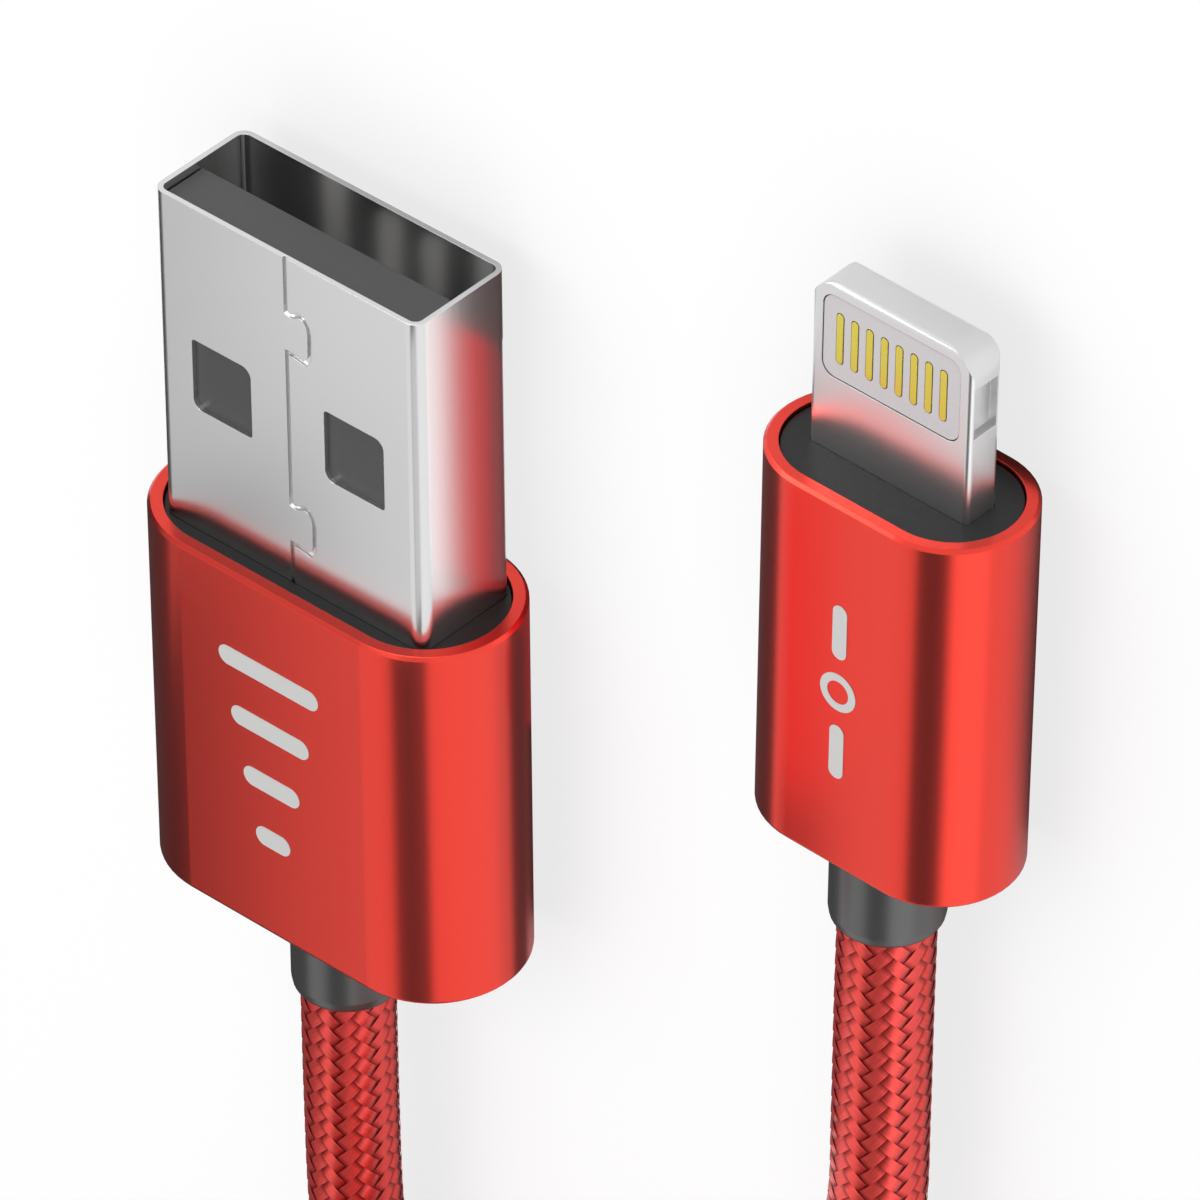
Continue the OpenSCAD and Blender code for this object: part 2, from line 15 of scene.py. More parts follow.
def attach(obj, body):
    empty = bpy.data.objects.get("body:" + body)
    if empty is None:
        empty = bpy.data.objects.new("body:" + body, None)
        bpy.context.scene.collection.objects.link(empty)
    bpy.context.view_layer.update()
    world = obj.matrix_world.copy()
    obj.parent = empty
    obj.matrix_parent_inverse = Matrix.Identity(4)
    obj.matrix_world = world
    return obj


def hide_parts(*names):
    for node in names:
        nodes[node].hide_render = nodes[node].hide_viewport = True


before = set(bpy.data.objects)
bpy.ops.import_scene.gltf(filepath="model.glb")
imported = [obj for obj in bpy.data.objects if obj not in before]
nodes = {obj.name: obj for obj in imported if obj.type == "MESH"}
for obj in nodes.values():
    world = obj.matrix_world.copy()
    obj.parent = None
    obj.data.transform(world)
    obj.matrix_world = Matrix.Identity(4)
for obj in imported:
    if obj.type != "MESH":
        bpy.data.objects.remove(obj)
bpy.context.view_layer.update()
bpy.ops.object.select_all(action="DESELECT")
MM = 0.001

# %% [markdown]
# ## Camera
# A camera in Blender looks along its own -Z axis with +Y upwards. In this frame the plugs' tips point up, so
# the camera is turned over on its side. Three angles could do that, but its three axes are plain to read, so
# they are written straight into its matrix. The lens is very long, which keeps both plugs almost free of
# perspective.

# %% Camera
RIGHT = Vector((0.747053, -0.007139, -0.664726))
DOWN = Vector((0.408195, -0.784299, 0.467173))
FORWARD = Vector((-0.524680, -0.620341, -0.582999))
CAMERA_AT = (0.214843, 0.255254, 0.241087)
SENSOR, LENS = 36, 367.724
camera_data = bpy.data.cameras.new("camera")
camera_data.sensor_width = SENSOR
camera_data.lens = LENS
camera_data.clip_start, camera_data.clip_end = 0.01, 10
camera = bpy.data.objects.new("camera", camera_data)
bpy.context.collection.objects.link(camera)
turned = Matrix((RIGHT, -DOWN, -FORWARD)).transposed().to_4x4()
camera.matrix_world = Matrix.Translation(CAMERA_AT) @ turned
bpy.context.scene.camera = camera
print("camera at", [round(v, 3) for v in camera.location])

# %% [markdown]
# ## The cord's route
# The cord leaves each plug straight, sinks to the table and goes into a coil of four layers: the turns spiral
# in, climb a layer, and spiral out again, as a cord does when it is wound round a hand. The route is the same
# as in the CAD model, worked out from the same round numbers, so that the woven cord lies exactly where the
# plain CAD cord is.

# %% The coil's rule
CORD_D = 3.4
COIL_MIDDLE = (5.5, -60)
COIL_R = 23
COIL_FROM, COIL_TO = 153, 48
LAYERS = 4
PITCH = CORD_D + 0.6
TURNS = 2 * LAYERS + (COIL_TO - COIL_FROM) / 360
PER_LAYER = TURNS / LAYERS
REVERSAL, CLIMB = 0.25, 0.5


def ramp(s):
    """Goes smoothly from 0 to 1 while s does."""
    c = min(max(s, 0), 1)
    return c * c * (3 - 2 * c)


def inward(t):
    """How many pitches the cord has spiralled in after t turns. It turns back softly, over REVERSAL turns."""
    k = min(math.floor(t / PER_LAYER), LAYERS - 1)
    u = t - k * PER_LAYER
    before = max(REVERSAL - u, 0) if k > 0 else 0
    after = max(REVERSAL - PER_LAYER + u, 0) if k < LAYERS - 1 else 0
    soft = (after**2 - before**2) / (2 * REVERSAL)
    return u - soft if k % 2 == 0 else PER_LAYER - u + soft


def coil_point(t):
    """The cord's middle in mm after t turns. It climbs a layer over CLIMB turns."""
    a = math.radians(COIL_FROM + 360 * t)
    r = COIL_R - PITCH * inward(t)
    layer = sum(ramp((t - k * PER_LAYER) / CLIMB + 0.5) for k in range(1, LAYERS))
    return (COIL_MIDDLE[0] + r * math.cos(a), COIL_MIDDLE[1] + r * math.sin(a), CORD_D / 2 + PITCH * layer)


def heading(degrees):
    """The direction along a circle at an angle on it."""
    a = math.radians(degrees)
    return np.array([-math.sin(a), math.cos(a), 0])


print("turns in the coil:", round(TURNS, 2))

# %% [markdown]
# ### The stretches behind the plugs
# Between plug and coil the cord passes through a few points. A polyline would have kinks and one long Bezier
# would wander, so a Catmull-Rom curve is used: it goes through every point, and an extra point before the
# first and after the last sets how it leaves and arrives.

# %% A smooth curve through points
CURVE_STEPS = 8


def curve(points, start, end):
    """A smooth curve through the points that leaves along start and arrives along end."""
    p = [np.array(q, float) for q in points]
    q = [p[1] - 2 * np.linalg.norm(p[1] - p[0]) * start, *p, p[-2] + 2 * np.linalg.norm(p[-1] - p[-2]) * end]
    line = [p[0]]
    for i in range(len(p) - 1):
        for k in range(1, CURVE_STEPS + 1):
            s = k / CURVE_STEPS
            line.append(
                q[i + 1] + (q[i + 2] - q[i]) * s / 2
                + (2 * q[i] - 5 * q[i + 1] + 4 * q[i + 2] - q[i + 3]) * s * s / 2
                + (3 * q[i + 1] - q[i] - 3 * q[i + 2] + q[i + 3]) * s**3 / 2
            )
    return line


print("steps between two points:", CURVE_STEPS)

# %% The whole route
USB_AXIS = (-11.01097, 3.45)
USB_MOUTH, USB_END = 11.98756, 32.7
SLIM_TIP, SLIM_END = np.array([13.76903, 20.65756, 2.9]), 25.45
SLIM_TURN = math.radians(-1.36)
slim_back = np.array([math.sin(SLIM_TURN), -math.cos(SLIM_TURN), 0])
usb_exit = np.array([USB_AXIS[0], USB_MOUTH - USB_END, USB_AXIS[1]])
slim_exit = SLIM_TIP + slim_back * SLIM_END

COIL_STEPS = 740
coil = [np.array(coil_point(TURNS * i / COIL_STEPS)) for i in range(COIL_STEPS + 1)]
usb_points = [(-11, -26, 3.45), (-11, -31, 3.35), (-11.2, -36, 2.7), (-11.7, -41, 1.95)]
slim_points = [
    (13.05, -9, 2.9), (12.95, -14, 2.9), (12.85, -18, 3), (12.8, -22, 4.3),
    (12.8, -26, 6.6), (12.9, -30, 9.2), (13.6, -33.5, 11.3), (15.2, -37, 12.9),
]
into_coil = coil[0] - heading(COIL_FROM) * CORD_D
out_of_coil = coil[-1] + heading(COIL_TO) * CORD_D
usb_line = curve([usb_exit, *usb_points, into_coil], np.array([0, -1, 0]), heading(COIL_FROM))
slim_line = curve([slim_exit, *slim_points, out_of_coil], slim_back, -heading(COIL_TO))
route = np.array(usb_line + coil + slim_line[::-1])
steps = np.linalg.norm(np.diff(route, axis=0), axis=1)
LENGTH = steps.sum()
print("cord length in mm:", round(LENGTH, 1))

# %% [markdown]
# ## The cord's own frame
# To wind threads round a curved line, each place on it needs two directions square to it. Carrying one such
# direction along the line, and only straightening it a little at each step, keeps it from spinning. A point
# of the braid is then a distance along the cord, an angle round it and a height above its middle.

# %% A frame carried along the route
along = np.concatenate([[0], np.cumsum(steps)])
STEP = 0.25
SMOOTHINGS = 6
stations = np.arange(0, LENGTH + STEP, STEP)
middle = np.stack([np.interp(stations, along, route[:, k]) for k in range(3)], axis=1)
for _ in range(SMOOTHINGS):
    middle[1:-1] = (middle[:-2] + 2 * middle[1:-1] + middle[2:]) / 4
ahead = np.gradient(middle, axis=0)
ahead /= np.linalg.norm(ahead, axis=1)[:, None]
side = np.zeros_like(middle)
carried = np.array([1.0, 0, 0])
for i, t in enumerate(ahead):
    carried = carried - carried.dot(t) * t
    carried /= np.linalg.norm(carried)
    side[i] = carried
up = np.cross(ahead, side)


def on_cord(distance, angle, radius):
    """Points in metres at distances along the cord, angles round it and radii from its middle, all arrays."""
    inside = np.clip(distance, 0, LENGTH)
    place = inside / STEP
    i = np.minimum(place.astype(int), len(stations) - 2)
    part = (place - i)[:, None]
    at = [v[i] * (1 - part) + v[i + 1] * part for v in (middle, side, up, ahead)]
    out = np.cos(angle)[:, None] * at[1] + np.sin(angle)[:, None] * at[2]
    out /= np.linalg.norm(out, axis=1)[:, None]
    return (at[0] + out * radius[:, None] + at[3] * (distance - inside)[:, None]) * MM


print(len(stations), "stations")

# %% [markdown]
# ## The jacket under the braid
# Inside the braid is a round soft jacket. It could be a curve with a round bevel, but the threads need the
# same frame along the route, so it is made as a tube of rings in that frame. Its middle line is the route,
# 1 m long.

# %% The jacket
def mesh_object(name, points, faces, uv=None):
    """A new mesh object at the origin. uv holds one pair for each point."""
    mesh = bpy.data.meshes.new(name)
    faces = np.asarray(faces, dtype=np.int32)
    count, sides = faces.shape
    mesh.vertices.add(len(points))
    mesh.vertices.foreach_set("co", np.asarray(points, dtype=np.float32).ravel())
    mesh.loops.add(count * sides)
    mesh.loops.foreach_set("vertex_index", faces.ravel())
    mesh.polygons.add(count)
    mesh.polygons.foreach_set("loop_start", np.arange(count, dtype=np.int32) * sides)
    mesh.polygons.foreach_set("use_smooth", np.ones(count, dtype=bool))
    if uv is not None:
        layer = mesh.uv_layers.new(name="weave")
        layer.data.foreach_set("uv", np.asarray(uv, dtype=np.float32)[faces.ravel()].ravel())
    mesh.update(calc_edges=True)
    made = bpy.data.objects.new(name, mesh)
    bpy.context.collection.objects.link(made)
    return made


def tube(name, distances, radius, sides):
    """A round tube along the cord with a ring of points at each distance."""
    n = len(distances)
    d = np.repeat(distances, sides)
    a = np.tile(np.arange(sides) * 2 * np.pi / sides, n)
    points = on_cord(d, a, np.full(n * sides, radius))
    k = np.arange(sides)
    ring = np.arange(n - 1)[:, None] * sides
    m = (k + 1) % sides
    faces = np.stack([ring + k, ring + m, ring + sides + m, ring + sides + k], axis=2).reshape(-1, 4)
    return mesh_object(name, points, faces)


JACKET_R, JACKET_SIDES, JACKET_RINGS = 1.46, 14, 1001
jacket_at = np.linspace(0, LENGTH, JACKET_RINGS)
jacket = tube("cord_jacket", jacket_at, JACKET_R, JACKET_SIDES)
path = on_cord(jacket_at, np.zeros(JACKET_RINGS), np.zeros(JACKET_RINGS))
print("jacket:", len(jacket.data.polygons), "faces")

# %% [markdown]
# ## The braid
# Sixteen flat threads wind round the cord to the right and sixteen to the left. Each goes over two of the
# others, then under two, which gives the upright rows of slanted floats. A bump pattern on the jacket would
# be quicker, but the cord's edge would stay smooth and a close view would look flat, so every thread is made.
# Seen in a grid, right-hand thread a crosses left-hand thread b on top when a + b, counted in fours, is 0 or
# 1. A thread's height depends only on how far it has gone across the other threads, so its floats end along
# their edges, as in real cloth. Every thread is a strip of faces, a little arched across its width and a
# little wider than its place, so no gap shows between two. Its UV map counts the threads in U and the
# crossings along the thread in V.

# %% One braided length
THREADS = 16
PICK = 0.73
R_MIDDLE, R_WAVE, R_ARCH = 1.65, 0.045, 0.005
THREAD_WIDTH = 1.03


def braid(name, start, end, per_pick, across):
    """Weaves the threads between two distances, with per_pick faces for a crossing and across for the width."""
    points, faces, uv = [], [], []
    first, last = round(2 * start / PICK), round(2 * end / PICK)
    n = (last - first) * per_pick + 1
    go = first + np.arange(n) / per_pick
    s = np.linspace(-0.5, 0.5, across + 1)[None, :]
    base = 0
    for hand in (1, -1):
        for i in range(THREADS):
            own = i + s * THREAD_WIDTH
            other = (go + i if hand == 1 else i - go)[:, None]
            phase = (go + 2 * i if hand == 1 else 2 * i - go + 2)[:, None]
            a, b = np.broadcast_arrays(*((own, other) if hand == 1 else (other, own)))
            radius = R_MIDDLE + R_WAVE * np.cos(np.pi / 2 * (phase - 0.5)) - R_ARCH * (2 * s) ** 2
            angle = (a + b) / 2 * 2 * np.pi / THREADS
            distance = (b - a) / 2 * PICK
            points.append(on_cord(distance.ravel(), angle.ravel(), radius.ravel()))
            u, v = np.broadcast_arrays(i + s + 0.5, phase)
            uv.append(np.stack([u.ravel(), v.ravel()], axis=1))
            row = np.arange(n - 1)[:, None] * (across + 1) + np.arange(across)[None, :] + base
            corners = [row, row + 1, row + across + 2, row + across + 1]
            faces.append(np.stack(corners if hand == -1 else corners[::-1], axis=2).reshape(-1, 4))
            base += n * (across + 1)
    made = mesh_object(name, np.concatenate(points), np.concatenate(faces), np.concatenate(uv))
    print(name, "faces:", len(made.data.polygons))
    return made


USB_STRETCH = np.linalg.norm(np.diff(np.array(usb_line), axis=0), axis=1).sum()
SLIM_STRETCH = np.linalg.norm(np.diff(np.array(slim_line), axis=0), axis=1).sum()
TUCK = 0.8
FINE, PLAIN = (3, 4), (1, 2)
halfway = LENGTH / 2
braids = [
    braid("braid_usb_stretch", -TUCK, USB_STRETCH, *FINE),
    braid("braid_coil_lower", USB_STRETCH, halfway, *PLAIN),
    braid("braid_coil_upper", halfway, LENGTH - SLIM_STRETCH, *PLAIN),
    braid("braid_slim_stretch", LENGTH - SLIM_STRETCH, LENGTH + TUCK, *FINE),
]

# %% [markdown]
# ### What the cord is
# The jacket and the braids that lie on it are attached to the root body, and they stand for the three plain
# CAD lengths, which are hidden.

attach(jacket, "root")
for piece in braids:
    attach(piece, "root")
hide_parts("cord_usb_stretch", "cord_coil", "cord_slim_stretch")
print("the cord carries", len(braids), "braided lengths")

# %% [markdown]
# ## The printed marks
# Such housings carry a small pale print on their wide face. The ink is only about 0.02 mm thick, but it has
# an edge of its own, so each mark is a thin piece and not a painted patch: a plane or a disc is shaped in
# edit mode and then extruded by the ink's thickness. Plain bars and a ring stand for the maker's print, and
# name nobody.

# %% A bar and a ring of ink
INK = 0.02
CORNER_STEPS, RING_STEPS = 10, 64


def finish_mark(name, face, turn):
    """Extrudes the flat shape that is being edited, and leaves it as a finished piece."""
    bpy.ops.mesh.select_all(action="SELECT")
    bpy.ops.mesh.extrude_region_move(TRANSFORM_OT_translate={"value": (0, 0, INK * MM)})
    bpy.ops.mesh.select_all(action="SELECT")
    bpy.ops.mesh.normals_make_consistent(inside=False)
    bpy.ops.object.mode_set(mode="OBJECT")
    made = bpy.context.object
    made.name = made.data.name = name
    made.rotation_euler.z = turn
    bpy.ops.object.transform_apply(location=True, rotation=True, scale=True)
    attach(made, "root")
    made.select_set(False)
    print(name, "at height", face)
    return made


def ink_bar(name, at, width, length, turn=0.0):
    """A bar with round ends. Its corners are bevelled by just under half its narrow side."""
    bpy.ops.mesh.primitive_plane_add(size=MM, location=[v * MM for v in at])
    bpy.ops.object.mode_set(mode="EDIT")
    bpy.ops.transform.resize(value=(width, length, 1))
    bpy.ops.mesh.bevel(affect="VERTICES", offset=0.499 * min(width, length) * MM, segments=CORNER_STEPS)
    return finish_mark(name, at[2], turn)


def ink_ring(name, at, radius, line, turn=0.0):
    """A disc with a hole. The face that the inset leaves in the middle is deleted."""
    place = [v * MM for v in at]
    bpy.ops.mesh.primitive_circle_add(vertices=RING_STEPS, radius=radius * MM, fill_type="NGON", location=place)
    bpy.ops.object.mode_set(mode="EDIT")
    bpy.ops.mesh.select_mode(type="FACE")
    bpy.ops.mesh.select_all(action="SELECT")
    bpy.ops.mesh.inset(thickness=line * MM)
    bpy.ops.mesh.delete(type="FACE")
    return finish_mark(name, at[2], turn)


print("ink in mm:", INK)

# %% Marks on the two housings
USB_TOP, SLIM_TOP = 6.9, 5.8
FIRST_BAR, BAR_PITCH, BAR_LENGTH = -5.2, 2.4, 0.8
marks = []
for i, width in enumerate((4.6, 3.6, 2.6, 1.6)):
    at = (USB_AXIS[0] - 0.1, FIRST_BAR - BAR_PITCH * i, USB_TOP)
    marks.append(ink_bar(f"usb_mark_{i + 1}", at, width, BAR_LENGTH))

slim_turn = math.atan2(slim_back[0], -slim_back[1])
FRONT_BAR, BARS_APART = 11.7, 5
x, y = (SLIM_TIP + slim_back * FRONT_BAR)[:2]
front = ink_bar("slim_mark_front", (x, y, SLIM_TOP), 0.6, 2.2, slim_turn)
rear = front.copy()
rear.data = front.data.copy()
rear.name = rear.data.name = "slim_mark_rear"
rear.data.transform(Matrix.Translation(Vector(slim_back) * BARS_APART * MM))
bpy.context.collection.objects.link(rear)
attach(rear, "root")
x, y = (SLIM_TIP + slim_back * (FRONT_BAR + BARS_APART / 2))[:2]
ring = ink_ring("slim_mark_ring", (x, y, SLIM_TOP), 0.75, 0.3, slim_turn)
marks += [front, rear, ring]
print(len(marks), "marks")

# %% [markdown]
# ## Finishes
# A finish is a small tree of shader nodes that ends in a Principled BSDF. Two helpers keep the trees short:
# one turns an sRGB hex colour, as a designer writes it, into the linear values that a renderer needs, and one
# adds a node, sets it and links it. The patterns read Object coordinates, which are metres here, so a scale
# of 1 / 0.0001 makes a grain 0.1 mm wide. Several grains are finer than that on the real thing, and are drawn
# as coarse as they need to show.

# %% Helpers for finishes
def colour(code):
    """An sRGB hex colour as linear red, green, blue and alpha."""
    parts = [int(code[i : i + 2], 16) / 255 for i in (1, 3, 5)]
    return (*[p / 12.92 if p <= 0.04045 else ((p + 0.055) / 1.055) ** 2.4 for p in parts], 1)


def node(tree, kind, inputs=(), **settings):
    """A new node. An input is linked where it is a socket and set where it is a value."""
    made = tree.nodes.new("ShaderNode" + kind)
    for name, value in settings.items():
        setattr(made, name, value)
    for name, value in dict(inputs).items():
        if isinstance(value, bpy.types.NodeSocket):
            tree.links.new(value, made.inputs[name])
        else:
            made.inputs[name].default_value = value
    return made


def finish(name, base, roughness, metallic=0.0, **sockets):
    """A new material with one Principled BSDF. Returns the material, its tree and the shader."""
    material = bpy.data.materials.new(name)
    material.use_nodes = True
    tree = material.node_tree
    shader = tree.nodes["Principled BSDF"]
    values = {"Base Color": colour(base), "Roughness": roughness, "Metallic": metallic, **sockets}
    for socket, value in values.items():
        shader.inputs[socket].default_value = value
    return material, tree, shader


def grain(tree, size, detail=2.0, stretch=(1, 1, 1)):
    """Noise whose spots are about size mm wide, drawn out along an axis by stretch. Returns its height."""
    place = node(tree, "TexCoord").outputs["Object"]
    scaled = node(tree, "Mapping", {"Vector": place, "Scale": [1 / (size * MM * s) for s in stretch]})
    inputs = {"Vector": scaled.outputs["Vector"], "Scale": 1.0, "Detail": detail}
    return node(tree, "TexNoise", inputs).outputs["Fac"]


def spread(tree, value, low, high):
    """Stretches the middle of the noise's range over low to high."""
    inputs = {"Value": value, "From Min": 0.3, "From Max": 0.7, "To Min": low, "To Max": high}
    return node(tree, "MapRange", inputs).outputs["Result"]


def uneven(tree, shader, pattern, low, high):
    """Lets the roughness follow a pattern between two values."""
    tree.links.new(spread(tree, pattern, low, high), shader.inputs["Roughness"])


def relief(tree, shader, height, depth, edge=0.0):
    """Bumps of a real depth in mm, on edges that are rounded by edge mm."""
    inputs = {"Height": height, "Distance": depth * MM, "Strength": 1.0}
    if edge:
        inputs["Normal"] = node(tree, "Bevel", {"Radius": edge * MM}, samples=6).outputs["Normal"]
    tree.links.new(node(tree, "Bump", inputs).outputs["Normal"], shader.inputs["Normal"])


def dress(material, *names):
    """Gives pieces a finish, CAD nodes and new pieces alike."""
    for name in names:
        piece = nodes.get(name) or bpy.data.objects[name]
        piece.data.materials.clear()
        piece.data.materials.append(material)
    print(material.name, "on", ", ".join(names))


print("the housings' red in linear values:", [round(v, 3) for v in colour("#E63D30")])

# %% [markdown]
# ### Steel of the two plugs
# The USB shell is folded from nickel-plated sheet that was rolled lengthwise, so fine scratches run towards
# the mouth. The slim plug's tab is machined and polished, with shallower marks. A bare mirror would look
# unreal, so noise drawn out along the plug moves the roughness a little and adds a faint relief. A Bevel node
# rounds the sharp edges, which then catch the light.

# %% Steel
shell_steel, tree, shader = finish("rolled_nickel_steel", "#D8D8D9", 0.24, 1.0)
scratches = grain(tree, 0.15, 2.0, (1, 60, 1))
uneven(tree, shader, scratches, 0.235, 0.245)
relief(tree, shader, scratches, 0.00005, 0.03)
dress(shell_steel, "usb_shell")

tab_steel, tree, shader = finish("polished_stainless_steel", "#D6D6D7", 0.3, 1.0)
scratches = grain(tree, 0.15, 2.0, (1, 30, 1))
uneven(tree, shader, scratches, 0.3, 0.31)
relief(tree, shader, scratches, 0.00003, 0.03)
dress(tab_steel, "slim_tab")

# %% [markdown]
# ### Red anodised aluminium
# The housings are machined aluminium, blasted to a fine satin grain, dyed red and sealed. A dyed anodic layer
# tints the metal's reflection, so the colour goes into the metal's base colour, with metallic at 1. A thin
# clear coat stands for the sealed layer.

# %% Anodised aluminium
sealed = {"Coat Weight": 0.35, "Coat Roughness": 0.6}
anodised, tree, shader = finish("red_anodised_aluminium", "#E63D30", 0.26, 1.0, **sealed)
satin = grain(tree, 0.04, 2.0)
uneven(tree, shader, satin, 0.25, 0.27)
relief(tree, shader, satin, 0.00004, 0.04)
dress(anodised, "usb_housing", "slim_housing")

# %% [markdown]
# ### Printing ink
# Pad-printed ink lies matt on the satin metal. It is opaque, so it is a plain pale grey with a little
# unevenness in its shine.

# %% Printing ink
ink, tree, shader = finish("pale_printing_ink", "#BEBEBD", 0.5)
uneven(tree, shader, grain(tree, 0.1), 0.45, 0.6)
dress(ink, *[piece.name for piece in marks])

# %% [markdown]
# ### Plastics
# The tongue and the inserts are moulded dark plastic with a fine spark-eroded grain. The strain reliefs are a
# softer elastomer with a silkier skin, and the contact carrier and the inner moulds are pale. All have an IOR
# of about 1.5, so roughness, grain and the specular level tell them apart: low for the dull inserts, high for
# the silky skin.

# %% Tongue and inserts
plastic, tree, shader = finish("moulded_dark_plastic", "#3D3D3D", 0.42)
erosion = grain(tree, 0.08, 3.0)
uneven(tree, shader, erosion, 0.36, 0.5)
relief(tree, shader, erosion, 0.003, 0.05)
dress(plastic, "usb_tongue")

insert_plastic, tree, shader = finish("dark_insert_plastic", "#1F1F1F", 0.42, **{"Specular IOR Level": 0.28})
erosion = grain(tree, 0.08, 3.0)
uneven(tree, shader, erosion, 0.38, 0.5)
relief(tree, shader, erosion, 0.003, 0.05)
dress(insert_plastic, "usb_front_insert", "slim_front_insert")

# %% Strain reliefs
elastomer, tree, shader = finish("satin_elastomer", "#353535", 0.3, **{"Specular IOR Level": 1.0})
skin = grain(tree, 0.15, 2.0)
uneven(tree, shader, skin, 0.3, 0.34)
relief(tree, shader, skin, 0.0005, 0.1)
dress(elastomer, "usb_strain_relief", "slim_strain_relief")

# %% Carrier and inner moulds
carrier, tree, shader = finish("pale_contact_carrier", "#BEBABC", 0.3)
fill = grain(tree, 0.12, 2.0)
uneven(tree, shader, fill, 0.26, 0.36)
relief(tree, shader, fill, 0.001, 0.03)
dress(carrier, "slim_contact_carrier")

waxy = {"Subsurface Weight": 0.2, "Subsurface Scale": 1.0 * MM}
mould, tree, shader = finish("inner_polyethylene", "#E6E3DA", 0.45, **waxy)
relief(tree, shader, grain(tree, 0.4, 2.0), 0.01)
dress(mould, "usb_inner_mould", "slim_inner_mould")

# %% [markdown]
# ### Contacts
# The slim plug's contacts are stamped copper with a thin gold plating. Stamping leaves faint lines along
# them, which soften the shine. The strips of the USB-A plug look like dull nickel. They lie deep in the
# mouth, where a true metal would only mirror the dark, so they are mostly a pale diffuse face.

# %% Gold and nickel plating
gold, tree, shader = finish("gold_plating", "#DACB58", 0.25, 1.0)
lines = grain(tree, 0.04, 2.0, (1, 20, 1))
uneven(tree, shader, lines, 0.22, 0.32)
relief(tree, shader, lines, 0.001, 0.03)
dress(gold, "slim_contacts_top", "slim_contacts_bottom")

nickel, tree, shader = finish("nickel_plating", "#F4F2EC", 0.45, 0.1)
lines = grain(tree, 0.05, 2.0, (1, 20, 1))
uneven(tree, shader, lines, 0.4, 0.5)
dress(nickel, "usb_contact_power", "usb_contact_data_minus", "usb_contact_data_plus", "usb_contact_ground")

# %% [markdown]
# ### Inside the housings
# The wires, the circuit board and its parts only show in a cut, but each still gets the finish of the real
# thing.

# %% Inner pieces
WIRES = {"power": "#C02020", "data_minus": "#EDEDED", "data_plus": "#2F8A3C", "ground": "#1C1C1E"}
for name, code in WIRES.items():
    sleeve, tree, shader = finish(f"pvc_wire_{name}", code, 0.4)
    relief(tree, shader, grain(tree, 0.3), 0.004)
    dress(sleeve, f"usb_wire_{name}", f"slim_wire_{name}")
# %% Board, chip, capacitors and shield
for name, code, roughness, metallic in (
    ("circuit_board", "#1F6A44", 0.35, 0.0), ("controller_chip", "#26272A", 0.5, 0.0),
    ("capacitors", "#B79A6B", 0.4, 0.0), ("shield_can", "#C4C5C8", 0.3, 1.0),
):
    made, tree, shader = finish("small_" + name, code, roughness, metallic)
    speckle = grain(tree, 0.2, 3.0)
    uneven(tree, shader, speckle, roughness - 0.05, roughness + 0.08)
    relief(tree, shader, speckle, 0.003)
    dress(made, "slim_" + name)

# %% [markdown]
# ### Nylon of the cord
# A braid's thread is a flat bundle of fine nylon filaments, dyed before weaving. Filaments shine along their
# length like satin, and light that has passed through them comes back red, so the material is mostly a metal:
# a metal's reflection takes its base colour. The braid's own UV map gives the pattern. The cosine of V is 1 in
# the middle of a float and 0 where the thread dives, so it arches each float a little more. The same cosine
# paints shade on each float's ends, where the thread dives under the next, and a painted highlight on its
# middle, lighter than the nylon's own red. Fine lines run along the thread in U. Real filaments are about
# 0.02 mm wide. They are drawn at 0.06 mm, because finer ones wouldn't show.

# %% Braided nylon
nylon, tree, shader = finish("woven_nylon", "#D23B36", 0.33, 0.7)
uv = node(tree, "UVMap", uv_map="weave").outputs["UV"]
drawn = node(tree, "Mapping", {"Vector": uv, "Scale": (8, 0.8, 1)})
inputs = {"Vector": drawn.outputs["Vector"], "Scale": 1.0, "Detail": 2.0}
filaments = node(tree, "TexNoise", inputs).outputs["Fac"]
crossings = node(tree, "SeparateXYZ", {"Vector": uv}).outputs["Y"]
from_middle = node(tree, "Math", {0: crossings, 1: 0.5}, operation="SUBTRACT").outputs["Value"]
radians = node(tree, "Math", {0: from_middle, 1: math.pi / 2}, operation="MULTIPLY").outputs["Value"]
height = node(tree, "Math", {0: radians}, operation="COSINE").outputs["Value"]
# Painted shade and highlight: the ramp paints each float's ends dark red where the thread dives, and its middle
# a lighter red than the nylon.
painted_float_shade = node(tree, "ValToRGB", {"Fac": height})
for stop, position, code in zip(painted_float_shade.color_ramp.elements, (0.1, 0.7), ("#981E1C", "#F4504A")):
    stop.position, stop.color = position, colour(code)
lines = spread(tree, filaments, 0.82, 1.0)
inputs = {"Fac": 1.0, "Color1": painted_float_shade.outputs["Color"], "Color2": lines}
lined = node(tree, "MixRGB", inputs, blend_type="MULTIPLY")
tree.links.new(lined.outputs["Color"], shader.inputs["Base Color"])
arch = node(tree, "Bump", {"Height": height, "Distance": 0.06 * MM})
inputs = {"Height": filaments, "Distance": 0.01 * MM, "Normal": arch.outputs["Normal"]}
thread_lines = node(tree, "Bump", inputs)
tree.links.new(thread_lines.outputs["Normal"], shader.inputs["Normal"])
dress(nylon, *[piece.name for piece in braids])

# %% [markdown]
# ### The jacket's own finish
# Under the braid lies soft PVC, matt and of the same red. It only shows as a hint between two threads and at
# the cord's two ends.

# %% Soft jacket
soft, tree, shader = finish("soft_jacket", "#B02A27", 0.6)
relief(tree, shader, grain(tree, 0.3), 0.005)
dress(soft, "cord_jacket", "usb_jacket_end", "slim_jacket_end")

# %% Pieces of the cord
print("pieces in the slot red_braid:", len(braids) + 1)
